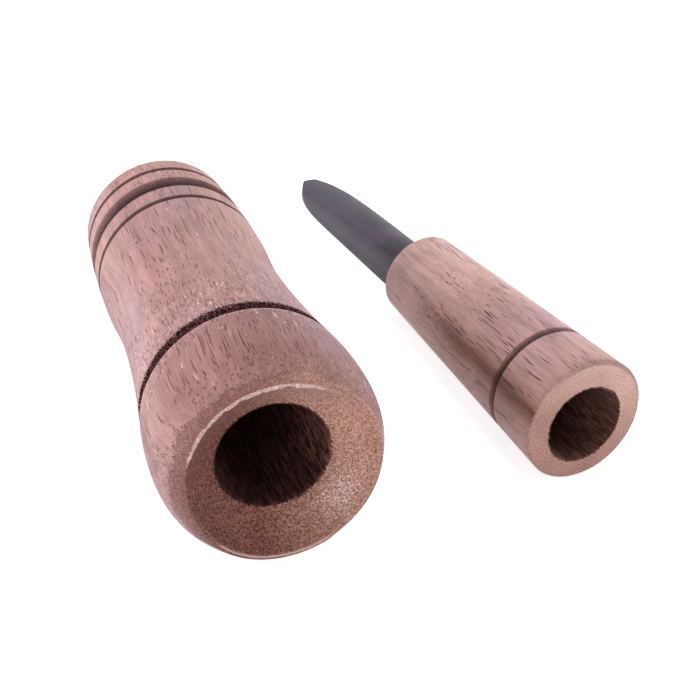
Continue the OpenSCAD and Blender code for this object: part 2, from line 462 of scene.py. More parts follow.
# %% Fibres
# each is its width and length in millimetres, then the noise's detail and roughness
FIBRES, BANDS, BUNDLES = (0.16, 7, 3.0, 0.6), (1.2, 50, 3.0, 0.6), (0.6, 16, 2.0, 0.5)
FIBRE_TONES, BAND_TONES = (0.82, 1.13), (0.82, 1.14)
LINE_HALF, LINE_DARK, LINE_PALE = 0.035, 0.8, 1.02


def side_grain(tree, grain, layered):
    """growth layers streaked by fibres, and by thin dark lines between bundles of fibres"""
    fibres = stretched_noise(tree, grain, *FIBRES)
    wood = toned(tree, layered, fibres, *FIBRE_TONES)
    wood = toned(tree, wood, stretched_noise(tree, grain, *BANDS), *BAND_TONES)
    # a line runs where a noise passes its middle
    bundles = stretched_noise(tree, grain, *BUNDLES)
    off_line = add_node(tree, MATH, {0: bundles, 1: 0.5}, operation="SUBTRACT")
    off_line = add_node(tree, MATH, {0: off_line}, operation="ABSOLUTE")
    line_tone = add_node(tree, RANGE, {0: off_line, 1: 0.0, 2: LINE_HALF, 3: LINE_DARK, 4: LINE_PALE})
    return add_node(tree, VECTOR, {0: wood, "Scale": line_tone}, operation="SCALE"), fibres


# %% Stains and oil
BLOTCH_SIZE, STAIN_SIZE, STAIN_STRETCH = 7, 11, 0.4
BLOTCH_TONES = (0.86, 1.1)
# what the stains multiply the wood's colour by
WARM, VIOLET = (1.03, 1.01, 0.93, 1.0), (0.98, 1.0, 1.08, 1.0)
STAIN_FROM, STAIN_TO = 0.38, 0.62
OIL_TINT = "#dccfd1"


def stained(tree, grain, wood, blotch):
    """heartwood is warm and stained in patches, dull violet between them, and oiled by hands"""
    wood = toned(tree, wood, blotch, *BLOTCH_TONES)
    stretched = add_node(tree, MAPPING, {"Vector": grain, "Scale": (1.0, 1.0, STAIN_STRETCH)})
    inputs = {"Vector": stretched, "Scale": 1 / STAIN_SIZE, "Detail": 3.0, "Roughness": 0.5}
    stain = add_node(tree, RANGE, {0: add_node(tree, NOISE, inputs), 1: STAIN_FROM, 2: STAIN_TO})
    stain = add_node(tree, MIX, {0: stain, 6: WARM, 7: VIOLET}, data_type="RGBA")
    wood = add_node(tree, VECTOR, {0: wood, 1: stain}, operation="MULTIPLY")
    oil = painted(tree, mark(tree, "oiled"), "#ffffff", OIL_TINT)
    return add_node(tree, VECTOR, {0: wood, 1: oil}, operation="MULTIPLY")


# %% [markdown]
# ### Torn grain
# Behind the burnt groove the tool went against the rising fibres and tore some out. Torn fibres
# scatter light, so they look pale and rough, with dark ticks where they came away.

# %% Torn grain
# cell width and length in millimetres, widest share of a cell, and soft edge
FLECKS, LARGE_FLECKS, TORN_OUT = (0.5, 1.8, 0.33, 0.12), (1.35, 8, 0.27, 0.14), (0.6, 2.4, 0.3, 0.04)
FLECK_PATCH, LARGE_FLECK_PATCH = 3, 9
TORN_CROWD = 0.22
OFF_THE_BELL = 0.3
FLECK_COLOUR, FLECK_COVER = "#ebc5b8", 0.55
TICKS, TICK_TONES = (0.4, 1.2, 3.0, 0.7), (0.5, 1.6)


def torn_grain(tree, local, grain, wood, flecked):
    """pale flecks of torn fibres, most of them where the tool tore the grain, and dark ticks"""
    torn = mark(tree, "torn")
    crowd = add_node(tree, NOISE, {"Vector": local, "Scale": 1 / FLECK_PATCH, "Detail": 2.0})
    crowd = add_node(tree, MATH, {0: torn, 1: TORN_CROWD, 2: crowd}, operation="MULTIPLY_ADD")
    crowd = add_node(tree, MATH, {0: crowd, 1: 1.0 - flecked}, operation="SUBTRACT")
    flecks = vessel_pores(tree, local, crowd, *FLECKS)
    large_crowd = add_node(tree, NOISE, {"Vector": local, "Scale": 1 / LARGE_FLECK_PATCH})
    large = vessel_pores(tree, grain, large_crowd, *LARGE_FLECKS)
    # most of the large flecks are on the bell, which is the oiled stretch
    on_bell = add_node(tree, RANGE, {0: mark(tree, "oiled"), 3: OFF_THE_BELL * flecked, 4: flecked})
    large = add_node(tree, MATH, {0: large, 1: on_bell}, operation="MULTIPLY")
    flecks = add_node(tree, MATH, {0: large, 1: flecks}, operation="MAXIMUM")
    flecks = add_node(tree, MATH, {0: flecks, 1: FLECK_COVER}, operation="MULTIPLY")
    wood = painted(tree, flecks, wood, FLECK_COLOUR)
    ticks = stretched_noise(tree, local, *TICKS)
    wood = painted(tree, torn, wood, toned(tree, wood, ticks, *TICK_TONES))
    return wood, torn, vessel_pores(tree, grain, crowd, *TORN_OUT)


# %% [markdown]
# ### End grain
# The dish and the ends cut the fibres across. Such a surface is a mottle of cut fibres, with some
# that glint, and it is duller and deeper in colour than side grain. It shows wherever the surface
# faces along the axis, except where fine sanding closed it up.

# %% End grain
MOTTLE_SIZE = 0.3
CUT_FROM, CUT_TO = 0.38, 0.63
PALE_SIDE_FROM, PALE_SIDE_TO = -0.2, 0.55
END_BLOTCH_TONES = (0.86, 1.14)
WAVY_SHARE, END_GRAIN_FROM = 0.7, 0.75


def end_grain_wood(tree, local, blank, blotch):
    """a mottle of cut fibres, paler towards one side: partly the sapwood, partly painted light falling from
    that side
    """
    inputs = {"Vector": local, "Scale": 1 / MOTTLE_SIZE, "Detail": 3.0, "Roughness": 0.65}
    mottle = add_node(tree, NOISE, inputs)
    cut_fibres = add_node(tree, RANGE, {0: mottle, 1: CUT_FROM, 2: CUT_TO})
    # the paler side is partly the sapwood and partly painted light falling from that side
    sap_and_light_turn = math.radians(blank["sap_and_light_turn"])
    sap_and_light_way = (math.cos(sap_and_light_turn) / BELL_R, math.sin(sap_and_light_turn) / BELL_R, 0)
    sap_and_lit_side = add_node(tree, VECTOR, {0: local, 1: sap_and_light_way}, operation="DOT_PRODUCT").node.outputs["Value"]
    near_sap_and_light = add_node(tree, RANGE, {0: sap_and_lit_side, 1: PALE_SIDE_FROM, 2: PALE_SIDE_TO})
    heart_and_shaded, sapwood_and_lit = [painted(tree, cut_fibres, *blank[side]) for side in ("heart_and_shaded", "sapwood_and_lit")]
    wood = toned(tree, painted(tree, near_sap_and_light, heart_and_shaded, sapwood_and_lit), blotch, *END_BLOTCH_TONES)
    return wood, sap_and_lit_side, mottle


def end_grain_share(tree, place, blotch, mottle):
    """1 where the surface cuts the fibres across, 0 where it runs along them or is sanded shut"""
    normal = add_node(tree, "ShaderNodeTexCoord").node.outputs["Normal"]
    axis = place.to_quaternion() @ Vector((0, 0, 1))
    along = add_node(tree, VECTOR, {0: normal, 1: axis}, operation="DOT_PRODUCT").node.outputs["Value"]
    along = add_node(tree, MATH, {0: along}, operation="ABSOLUTE")
    along = add_node(tree, MATH, {0: blotch, 1: WAVY_SHARE, 2: along}, operation="MULTIPLY_ADD")
    share = add_node(tree, RANGE, {0: along, 1: END_GRAIN_FROM, 2: 1.0})
    share = ragged(tree, share, mottle)
    share = add_node(tree, MATH, {0: share, 1: mark(tree, "dished")}, operation="MAXIMUM")
    open_share = add_node(tree, RANGE, {0: mark(tree, "sanded"), 3: 1.0, 4: 0.0})
    return add_node(tree, MATH, {0: share, 1: open_share}, operation="MULTIPLY")


# %% [markdown]
# ### Pores
# Walnut's vessels are long tubes, so each is a needle in a stretched cell. Several sets of cells of
# different sizes lie over each other, because one set alone would look like a weave.

# %% Pores
POROUS_PATCHES = (2.2, 18, 3.0, 0.6)
# darker layers are more porous: brightness of a dark and a pale layer, and the crowd each one adds
DARK_LAYER, PALE_LAYER = 0.18, 0.42
DARK_CROWD, PALE_CROWD = 0.12, -0.03
OILED_CROWD = 0.08
TORN_OUT_SHARE = 0.8
SEEN_ALONG, SEEN_ACROSS = 0.92, 0.2


def open_pores(tree, grain, layered, blank, torn_out, end_grain):
    """how strongly a pore shows, on side grain and, more faintly, on end grain"""
    brightness = add_node(tree, "ShaderNodeRGBToBW", {0: layered})
    inputs = {0: brightness, 1: DARK_LAYER, 2: PALE_LAYER, 3: DARK_CROWD, 4: PALE_CROWD}
    porous = add_node(tree, RANGE, inputs)
    patches = stretched_noise(tree, grain, *POROUS_PATCHES)
    crowd = add_node(tree, MATH, {0: patches, 1: porous}, operation="ADD")
    inputs = {0: mark(tree, "oiled"), 1: OILED_CROWD, 2: crowd}
    crowd = add_node(tree, MATH, inputs, operation="MULTIPLY_ADD")
    pores = add_node(tree, MATH, {0: torn_out, 1: TORN_OUT_SHARE}, operation="MULTIPLY")
    for cell, length, widest in blank["pores"]:
        needles = vessel_pores(tree, grain, crowd, cell, length, widest, blank["pore_edge"])
        pores = add_node(tree, MATH, {0: pores, 1: needles}, operation="MAXIMUM")
    shown = add_node(tree, RANGE, {0: end_grain, 3: SEEN_ALONG, 4: SEEN_ACROSS})
    return add_node(tree, MATH, {0: pores, 1: shown}, operation="MULTIPLY")


# %% [markdown]
# ### What the lathe and the drill leave, and painted light
# A wire held in the bell's groove chars it, and the other grooves get painted shade on their floors.
# A drill scorches its wall in streaks along the bore, which also gets painted shade. Sharp edges get
# a painted highlight, and one patch of the dish gets painted glints.

# %% Painted shade, char, drilled walls and painted highlights
# painted shade on the grooves' floors and on an arc of the insert's rim
SHADE_COLOUR = "#331a1d"
CHAR = ("#1c0a0c", "#7b4a46")
# pale colours of the painted highlights on edges and of the painted glints
HIGHLIGHT_COLOURS = ("#dcac9d", "#fff0e8")
GRIT_SIZE, GLINT_SPECK_SIZE = 0.3, 0.22
SPECKLE_FROM, SPECKLE_TO = 0.46, 0.62
STREAKS = (0.25, 3, 4.0, 0.65)
STREAK_FROM, STREAK_TO = 0.44, 0.64
# the wall is painted darker on one side and paler on the side where light falls into the bore
WALL_LIGHT_TONES = (0.55, 2.2)


def lathe_marks(tree, local, wood, sap_and_lit_side, bore_wall):
    """painted shade, char, drilled walls, painted glints and painted highlights over the wood"""
    inputs = {"Vector": local, "Scale": 1 / GRIT_SIZE, "Detail": 3.0, "Roughness": 0.6}
    grit = add_node(tree, NOISE, inputs)
    speckle = add_node(tree, RANGE, {0: grit, 1: SPECKLE_FROM, 2: SPECKLE_TO})
    wood = painted(tree, mark(tree, "soot"), wood, SHADE_COLOUR)
    charred = ragged(tree, mark(tree, "char"), grit)
    wood = painted(tree, charred, wood, painted(tree, speckle, *CHAR))
    # the drilled wall is scorched in streaks, kept dark as painted shade of the bore, and painted paler where
    # light falls in
    streaks = stretched_noise(tree, local, *STREAKS)
    bright = add_node(tree, RANGE, {0: streaks, 1: STREAK_FROM, 2: STREAK_TO})
    wall = toned(tree, painted(tree, bright, *bore_wall), sap_and_lit_side, *WALL_LIGHT_TONES)
    bored = ragged(tree, mark(tree, "drilled"), grit)
    wood = painted(tree, bored, wood, wall)
    # the painted glints off one patch of the dish break up into fine specks
    glint_specks = add_node(tree, NOISE, {"Vector": local, "Scale": 1 / GLINT_SPECK_SIZE, "Detail": 1.0})
    chalky = ragged(tree, mark(tree, "chalky"), glint_specks)
    # painted highlights on edges, and painted glints, in pale specks
    worn = ragged(tree, mark(tree, "worn"), grit)
    worn = add_node(tree, MATH, {0: worn, 1: chalky}, operation="MAXIMUM")
    wood = painted(tree, worn, wood, painted(tree, speckle, *HIGHLIGHT_COLOURS))
    burned_out = add_node(tree, MATH, {0: charred, 1: bored}, operation="MAXIMUM")
    return wood, burned_out, grit


# %% [markdown]
# ### The whole wood
# Sanded flanks have a faint sheen, because loose fibre ends catch light that grazes them. Each wood
# is made twice, with and without it, and the copy without sheen is painted shade on the floors of grooves and
# bores.

# %% Bare walnut, sanded or cut
WANDER_SIZE, WANDER_BY = 25, 3.0
GRIT_RELIEF, RELIEF_DEPTH = 2.0, 0.1
SMOOTH, BURNED = 0.5, 0.95
# the second copy has no sheen, as painted shade in grooves and bores
SANDED_SHEEN, RECESS_SHEEN = 0.22, 0.0


def walnut(name, blank, sheen):
    """bare walnut from a blank: its place, layers, pores and colours"""
    material, tree, shader = new_material(name)
    local = local_millimetres(tree, blank["place"])
    # fibres wander sideways by some tenths of a millimetre
    wander = add_node(tree, NOISE, {"Vector": local, "Scale": 1 / WANDER_SIZE, "Detail": 2.0})
    sway = add_node(tree, VECTOR, {0: wander.node.outputs["Color"], 1: (0.5, 0.5, 0.5)}, operation="SUBTRACT")
    sway = add_node(tree, VECTOR, {0: sway, 1: (WANDER_BY, WANDER_BY, 0.0)}, operation="MULTIPLY")
    grain = add_node(tree, VECTOR, {0: local, 1: sway}, operation="ADD")
    layered = growth_layers(tree, grain, blank["layers"], blank["plain_along"])
    wood, fibres = side_grain(tree, grain, layered)
    inputs = {"Vector": grain, "Scale": 1 / BLOTCH_SIZE, "Detail": 2.0, "Roughness": 0.5}
    blotch = add_node(tree, NOISE, inputs)
    wood = stained(tree, grain, wood, blotch)
    wood, torn, torn_out = torn_grain(tree, local, grain, wood, blank["flecked"])
    end_wood, sap_and_lit_side, mottle = end_grain_wood(tree, local, blank, blotch)
    end_grain = end_grain_share(tree, blank["place"], blotch, mottle)
    wood = painted(tree, end_grain, wood, end_wood)
    pores = open_pores(tree, grain, layered, blank, torn_out, end_grain)
    # dirt fills pores where hands hold the wood
    wood = painted(tree, pores, wood, painted(tree, mark(tree, "oiled"), *blank["pore_colours"]))
    wood, burned_out, grit = lathe_marks(tree, local, wood, sap_and_lit_side, blank["bore_wall"])
    tree.links.new(wood, shader.inputs["Base Color"])
    # fibres stand up, pores sink, and burnt, torn and end-grain wood is gritty
    rough = add_node(tree, MATH, {0: burned_out, 1: torn}, operation="MAXIMUM")
    rough = add_node(tree, MATH, {0: rough, 1: end_grain}, operation="MAXIMUM")
    gritty = add_node(tree, MATH, {0: grit, 1: rough}, operation="MULTIPLY")
    relief = add_node(tree, MATH, {0: fibres, 1: pores}, operation="SUBTRACT")
    relief = add_node(tree, MATH, {0: gritty, 1: GRIT_RELIEF, 2: relief}, operation="MULTIPLY_ADD")
    inputs = {"Height": relief, "Strength": 0.8, "Distance": RELIEF_DEPTH * MM}
    tree.links.new(add_node(tree, "ShaderNodeBump", inputs), shader.inputs["Normal"])
    dull = add_node(tree, RANGE, {0: burned_out, 3: SMOOTH, 4: BURNED})
    tree.links.new(dull, shader.inputs["Roughness"])
    shader.inputs["Specular IOR Level"].default_value = 0.2
    shader.inputs["Sheen Weight"].default_value = sheen
    shader.inputs["Sheen Roughness"].default_value = 0.22
    shader.inputs["Sheen Tint"].default_value = linear("#f0e0f4")
    print(name, len(tree.nodes), "nodes")
    return material


# %% The barrel's blank
# its colours were matched to the photograph by comparing renders with it
barrel_blank = {
    "place": on_barrel,
    "layers": [
        (0.0, "#a87c72"),
        (0.05, "#a97e75"),
        (0.12, "#ad837a"),
        (0.24, "#ad8278"),
        (0.42, "#c39c94"),
        (0.62, "#b58d86"),
        (0.8, "#bf9b95"),
        (1.0, "#ab837c"),
    ],
    # the blank gets plainer only past the barrel's end
    "plain_along": (BARREL_LEN, 2 * BARREL_LEN),
    # width and length of a cell in millimetres, and a pore's widest share of it
    "pores": [(0.42, 22, 0.23), (0.34, 17, 0.22), (0.55, 15, 0.2), (0.75, 10, 0.17)],
    "pore_edge": 0.06,
    # a pore in dry wood, and one where hands oil it
    "pore_colours": ("#6d443d", "#54251d"),
    # dark and bright cut fibres on the darker side and on the paler, lit side, and dark and bright streaks of
    # the bore's wall
    "heart_and_shaded": ("#4b221d", "#aa7261"),
    "sapwood_and_lit": ("#9c6653", "#e4b8a5"),
    "bore_wall": ("#26110f", "#a5685d"),
    # heading of the paler side, nearer the sapwood and painted as lit, in degrees, and how full of flecks the
    # wood is
    "sap_and_light_turn": -20,
    "flecked": 0.88,
}
barrel_walnut = walnut("walnut_sanded_barrel", barrel_blank, SANDED_SHEEN)
barrel_recess_walnut = walnut("walnut_recess_shaded_barrel", barrel_blank, RECESS_SHEEN)

# %% The insert's blank
insert_blank = {
    "place": on_insert,
    # one streak of dark heartwood runs between paler layers
    "layers": [
        (0.0, "#bb9087"),
        (0.3, "#c49c93"),
        (0.52, "#b38980"),
        (0.575, "#84574d"),
        (0.6, "#7b4f46"),
        (0.63, "#b0857b"),
        (0.68, "#c0978e"),
        (0.88, "#b68c82"),
        (1.0, "#d0aba4"),
    ],
    # it gets plainer towards its small end
    "plain_along": (24, 40),
    "pores": [(0.36, 17, 0.26), (0.5, 25, 0.21), (0.44, 12, 0.2)],
    "pore_edge": 0.05,
    "pore_colours": ("#4a2a26", "#4a2a26"),
    "heart_and_shaded": ("#ad7c6e", "#d6a89a"),
    "sapwood_and_lit": ("#e0afa0", "#fbd3c5"),
    "bore_wall": ("#6b4036", "#bf8977"),
    "sap_and_light_turn": 120,
    "flecked": 0.0,
}
insert_walnut = walnut("walnut_sanded_insert", insert_blank, SANDED_SHEEN)
insert_recess_walnut = walnut("walnut_recess_shaded_insert", insert_blank, RECESS_SHEEN)

# %% [markdown]
# ## The barrel
# The outline runs from the bore, over the dish, the crest and the bell, along the side with its
# grooves, round the far edge, and back through the tapered seat to the bore. It is closed, so one
# turn makes a closed shell. The crest is a sharp corner here, and the hand that sands it comes later.

# %% Outline of the barrel
BORE_PARTS, DISH_PARTS, FRONT_PARTS, EDGE_PARTS, SEAT_PARTS = 48, 28, 30, 12, 8
BARREL_STEP = 0.7
barrel_grooves = (BELL_GROOVE, RING_A, RING_B, RING_C)
side_end = BARREL_LEN - END_ROUND
bore_points = []
for i in range(BORE_PARTS):
    bore_points.append((BORE_R, SEAT_START + (DISH_DEPTH - SEAT_START) * i / BORE_PARTS))
dish_points = bowed((BORE_R, DISH_DEPTH), (CREST_R, 0), DISH_DEPTH * DISH_BOW, DISH_PARTS)
front_points = []
for i in range(1, FRONT_PARTS + 1):
    angle = math.pi / 2 * i / FRONT_PARTS
    out = math.sin(angle) ** (2 / FRONT_POWER)
    back = 1 - math.cos(angle) ** (2 / FRONT_POWER)
    front_points.append((CREST_R + (BELL_R - CREST_R) * out, BELL_AT * back))
side_places = stations(BELL_AT, side_end, BARREL_STEP, barrel_grooves)[1:]
side_points = [(turned_r(z, barrel_side, barrel_grooves), z) for z in side_places]
end_centre = (barrel_side(side_end) - END_ROUND, side_end)
end_points = arc(end_centre, END_ROUND, 0, 90, EDGE_PARTS)[1:]
seat_points = []
for i in range(SEAT_PARTS):
    share = 1 - i / SEAT_PARTS
    r = BORE_R + (SEAT_R - BORE_R) * share
    seat_points.append((r, SEAT_START + (BARREL_LEN - SEAT_START) * share))
barrel_outline = bore_points + dish_points + front_points + side_points + end_points + seat_points
print("barrel outline", len(barrel_outline), "points")

# %% [markdown]
# ### Marks on the mesh
# A lathe's marks lie in rings, and wear lies on one side. So each mark is worked out from a
# vertex's radius, its height and its heading round the axis, and is written on the vertex.

# %% Writing marks
MARKS = ("soot", "char", "drilled", "worn", "torn", "sanded", "dished", "oiled", "chalky")
# a hair's breadth, by which a place is told from the edge that it lies on
HAIR = 0.01


def within(value, middle, half, fade):
    """1 within half of the middle, falling to 0 over the fade beyond it"""
    return max(0.0, min(1.0, 1 - (abs(value - middle) - half) / fade))


def eased(share):
    return share * share * (3 - 2 * share)


def turned_from(co, degrees):
    """how far round the axis a place lies from a heading, in degrees from 0 to 180"""
    apart = math.degrees(math.atan2(co.y, co.x)) - degrees
    return abs((apart + 180) % 360 - 180)


def facing(co, heading, half, fade):
    """1 within half of a heading round the axis, falling to 0 over the fade beyond it"""
    return within(turned_from(co, heading), 0, half, fade)


def groove_shade(z, groove, half_share, fade_share):
    """painted shade on a groove's floor, as wide as these shares of the groove"""
    at, width, _ = groove
    return within(z, at + width / 2, width * half_share, width * fade_share)


def mark_verts(bm, marks_at):
    """writes each mark on each vertex"""
    layers = {name: bm.verts.layers.float.new(name) for name in MARKS}
    for vert in bm.verts:
        for name, share in marks_at(vert.co).items():
            vert[layers[name]] = share


def mark_shaded_recesses(bm, grooves, bore_r):
    """gives the faces in grooves and bores the second material, whose missing sheen is painted shade"""
    for face in bm.faces:
        centre = face.calc_center_median()
        r = math.hypot(centre.x, centre.y)
        cut = any(at < centre.z < at + width for at, width, _ in grooves) or r < bore_r
        face.material_index = 1 if cut else 0


# %% Marks of the mouth
# round the axis: heading, half width and fade in degrees; across it: radius and the same in mm
SANDED_ROUND = (30, 60, 60)
CREST_HIGH_ROUND, CREST_LOW_ROUND = (-122, 32, 32), (85, 30, 15)
CREST_HIGH, CREST_LOW = (CREST_R + 0.06, 0.2, 0.46), (CREST_R, 0.02, 0.2)
CREST_HIGH_SHARE, CREST_LOW_SHARE = 1.5, 0.9
# the crest's painted highlight comes and goes in patches
HIGHLIGHT_PATCH, HIGHLIGHT_LEVEL, HIGHLIGHT_CHANGE = 1.7, 1.05, 0.9
# painted glints on a patch of the dish, low on its right: heading, radius and share
GLINT_ROUND, GLINT_ACROSS, GLINT_SHARE = (26, 6, 20), (10.6, 0.5, 1.5), 0.52
SCORCHED_RIM = 0.5


def facing_out(co):
    """1 on the lower right of the mouth, which was sanded furthest out, falling to 0 on the upper left"""
    return eased(facing(co, *SANDED_ROUND))


def dish_marks(co, r):
    chalky = GLINT_SHARE * facing(co, *GLINT_ROUND) * within(r, *GLINT_ACROSS)
    return {"drilled": within(r, 0, BORE_R, SCORCHED_RIM), "dished": 1.0, "chalky": chalky}


def crest_marks(co, r):
    """a painted highlight along the crest, strongest on its upper left, and a thin line of it low down"""
    patches = HIGHLIGHT_LEVEL + HIGHLIGHT_CHANGE * noise.noise(co / HIGHLIGHT_PATCH)
    high = CREST_HIGH_SHARE * facing(co, *CREST_HIGH_ROUND) * patches * within(r, *CREST_HIGH)
    low = CREST_LOW_SHARE * facing(co, *CREST_LOW_ROUND) * within(r, *CREST_LOW)
    return {"worn": max(high, low)}


# %% Marks of the side
# painted shade on the floors of the three rings, a little less in the last
RING_SHADE = ((RING_A, 1.0), (RING_B, 1.0), (RING_C, 0.9))
RING_SHADE_HALF, RING_SHADE_FADE = 0.3, 0.3
# char starts to fade a little before the groove ends, and is gone this far past it
CHAR_LEAD, CHAR_PAST = 0.5, 1.2
# a painted highlight along the near lip of the bell's groove
LIP_HIGHLIGHT, LIP_HIGHLIGHT_SHARE = (BELL_GROOVE[0] - 0.15, 0.05, 0.2), 0.45
# the tool tore the grain behind the groove: middle, half width and fade in millimetres
TORN_STRETCH, TORN_SHARE = (22.5, 3.0, 8.0), 0.75


def side_marks(z):
    # the ring floors get painted shade
    soot = [amount * groove_shade(z, ring, RING_SHADE_HALF, RING_SHADE_FADE) for ring, amount in RING_SHADE]
    marks = {"soot": max(soot)}
    if any(at < z < at + width for (at, width, _), _ in RING_SHADE):
        marks["sanded"] = 1.0
    past = z - BELL_GROOVE[0] - BELL_GROOVE[1]
    if z > BELL_GROOVE[0] + HAIR and past < CHAR_PAST:
        marks["char"] = 1 - max(0, past + CHAR_LEAD) / (CHAR_PAST + CHAR_LEAD)
    marks["worn"] = LIP_HIGHLIGHT_SHARE * within(z, *LIP_HIGHLIGHT)
    marks["torn"] = TORN_SHARE * within(z, *TORN_STRETCH)
    return marks


# %% Marks of the whole barrel
OILED_STRETCH, THUMB_ROUND, THINNEST_OIL = (10.5, 5.0, 4.0), (-65, 45, 45), 0.4
# the share of the bell's end grain that sanding shuts, and how much of it stays open at the lower right
SANDED_SHUT, LEFT_OPEN = 0.35, 0.8
# the dish's marks end this far inside the crest, and the bell's sanding starts this far outside it
DISH_RIM, SANDED_RIM = 0.25, 0.05
SEAT_WALL, CREST_ZONE = 0.8, 1.0
# faces whose middle lies this little outside the bore still belong to its wall
WALL_GAP = 0.05


def barrel_marks(co):
    r, z = math.hypot(co.x, co.y), co.z
    oil = THINNEST_OIL + (1 - THINNEST_OIL) * facing(co, *THUMB_ROUND)
    marks = {"oiled": within(z, *OILED_STRETCH) * oil}
    if r > CREST_R + SANDED_RIM:
        marks["sanded"] = SANDED_SHUT * (1 - LEFT_OPEN * facing_out(co))
    if r < CREST_R - DISH_RIM and z < DISH_DEPTH - HAIR:
        marks.update(dish_marks(co, r))
    elif r < BORE_R + SEAT_WALL:
        marks["drilled"] = 1.0
    elif z < CREST_ZONE:
        marks.update(crest_marks(co, r))
    elif z > BELL_AT:
        marks.update(side_marks(z))
    return marks


# %% The barrel's mesh
bm = bmesh.new()
lathe(bm, barrel_outline, closed=True)
mark_verts(bm, barrel_marks)
mark_shaded_recesses(bm, barrel_grooves, BORE_R + WALL_GAP)
print("barrel", len(bm.verts), "verts with", len(MARKS), "marks")

# %% [markdown]
# ### A mouth sanded by hand
# The crest isn't quite round in the photograph. The dish was sanded further out on its lower right,
# where its edge is soft, and it stays sharp and a little chipped on its upper left. So the lathe's
# mesh is pushed out at the lower right by about a millimetre, the soft stretch goes through the
# smooth operator, and a noise chips the sharp one.

# %% Sizes of the sanded mouth
SANDED_OUT, SANDED_ALL = 1.1, 0.1
SANDED_REACH = 0.7
SOFT_BAND, SOFT_ROUND, SOFT_PASSES = 2.0, (-10, 60), 40
CHIP_DEPTH, CHIP_OUT = 0.5, 0.7
CHIPPED_ROUND, CHIPPED_ACROSS = (-122, 45, 30), (CREST_R, 0.1, 0.45)
# size of a splinter in millimetres, how much finer the small ones are, and their share
CHIPS = (1.1, 3, 0.5)


def splinters(co, size, finer, finer_share):
    """lumps of a size with finer ones on them, and nothing between them"""
    return max(0, noise.noise(co / size)) + finer_share * max(0, noise.noise(co / size * finer))


def pushed_out(co, r):
    """how far sanding moved the mouth outwards at this place"""
    if r < CREST_R + HAIR:
        strength = eased((r - BORE_R) / (CREST_R - BORE_R))
    else:
        strength = eased(max(0, 1 - (r - CREST_R) / (BELL_R - CREST_R) / SANDED_REACH))
    return (SANDED_ALL + SANDED_OUT * facing_out(co)) * strength


# %% The sanded mouth
soft_verts = []
for vert in bm.verts:
    r, z = math.hypot(vert.co.x, vert.co.y), vert.co.z
    if z > BELL_AT or r < BORE_R + HAIR:
        continue
    if abs(r - CREST_R) < SOFT_BAND and turned_from(vert.co, SOFT_ROUND[0]) < SOFT_ROUND[1]:
        soft_verts.append(vert)
    near_crest = within(r, *CHIPPED_ACROSS) if z < CREST_ZONE else 0
    chip = splinters(vert.co, *CHIPS) * CHIP_DEPTH * near_crest * facing(vert.co, *CHIPPED_ROUND)
    pushed = pushed_out(vert.co, r)
    out = Vector((vert.co.x / r, vert.co.y / r, 0))
    # the barrel tips, so what is pushed out at the bottom also moves back, to stay in the CAD's box
    vert.co += out * (pushed + CHIP_OUT * chip) + Vector((0, 0, chip + pushed * lie_sin))
for _ in range(SOFT_PASSES):
    bmesh.ops.smooth_vert(bm, verts=soft_verts, factor=0.5, use_axis_x=True, use_axis_y=True, use_axis_z=True)
print(len(soft_verts), "verts softened")
finish_piece(bm, "barrel_turned", on_barrel, "barrel", ["barrel"], [barrel_walnut, barrel_recess_walnut])

# %% [markdown]
# ## The insert's wood
# Its exhaust bore is drilled a little off the axis, as the thicker wall on one side of the face
# shows. So only the outside and the small end's bore are spun. The face and the exhaust bore are
# drawn in from the spun rim: its edges are extruded, then scaled and moved to each next ring.


# %% Drawing a rim inwards
def draw_in(bm, rim, start, rings):
    """extrudes the rim from ring to ring, each (radius, offset, z), and returns the last rim"""
    for before, after in zip([start] + rings, rings):
        made = bmesh.ops.extrude_edge_only(bm, edges=rim)["geom"]
        verts = [v for v in made if isinstance(v, bmesh.types.BMVert)]
        rim = [e for e in made if isinstance(e, bmesh.types.BMEdge) and all(v in verts for v in e.verts)]
        share = after[0] / before[0]
        centre = Matrix.Translation((0, before[1], 0))
        bmesh.ops.scale(bm, vec=(share, share, 1), space=centre.inverted(), verts=verts)
        bmesh.ops.translate(bm, vec=(0, after[1] - before[1], after[2] - before[2]), verts=verts)
    return rim


# %% The insert's outline
INSERT_STEP, TONE_BORE_PARTS = 0.8, 16
insert_grooves = (INSERT_GROOVE,)
step_at = INSERT_LEN - TONE_BORE_LEN
face_r = INSERT_R - INSERT_CHAMFER
side_places = stations(INSERT_CHAMFER, INSERT_LEN - INSERT_CHAMFER, INSERT_STEP, insert_grooves)
outside = [(face_r, 0)]
outside += [(turned_r(z, insert_side, insert_grooves), z) for z in side_places]
outside += [(TENON_R - INSERT_CHAMFER, INSERT_LEN)]
tone_bore = [
    (TONE_BORE_R, INSERT_LEN - TONE_BORE_LEN * i / TONE_BORE_PARTS) for i in range(TONE_BORE_PARTS + 1)
]
print("insert outline", len(outside) + len(tone_bore), "points")

# %% The insert's mesh
FACE_PARTS, EXHAUST_PARTS = 10, 24
# two rings close to the rim, which the torn rim below needs
RIM_RINGS = (0.25, 0.6)
bm = bmesh.new()
lathe(bm, outside + tone_bore)
face_rim = [e for e in bm.edges if e.is_boundary and e.verts[0].co.z < INSERT_CHAMFER / 2]
rings = []
for i in range(1, FACE_PARTS + 1):
    share = i / FACE_PARTS
    rings.append((face_r + (EXHAUST_R - face_r) * share, -EXHAUST_OFF * share, 0))
rings += [(EXHAUST_R, -EXHAUST_OFF, z) for z in RIM_RINGS]
rings += [(EXHAUST_R, -EXHAUST_OFF, step_at * i / EXHAUST_PARTS) for i in range(1, EXHAUST_PARTS + 1)]
rings.append((TONE_BORE_R, 0, step_at))
draw_in(bm, face_rim, (face_r, 0, 0), rings)

# %% Marks of the insert
RIM_BAND = (face_r + 0.1, 0.15, 0.25)
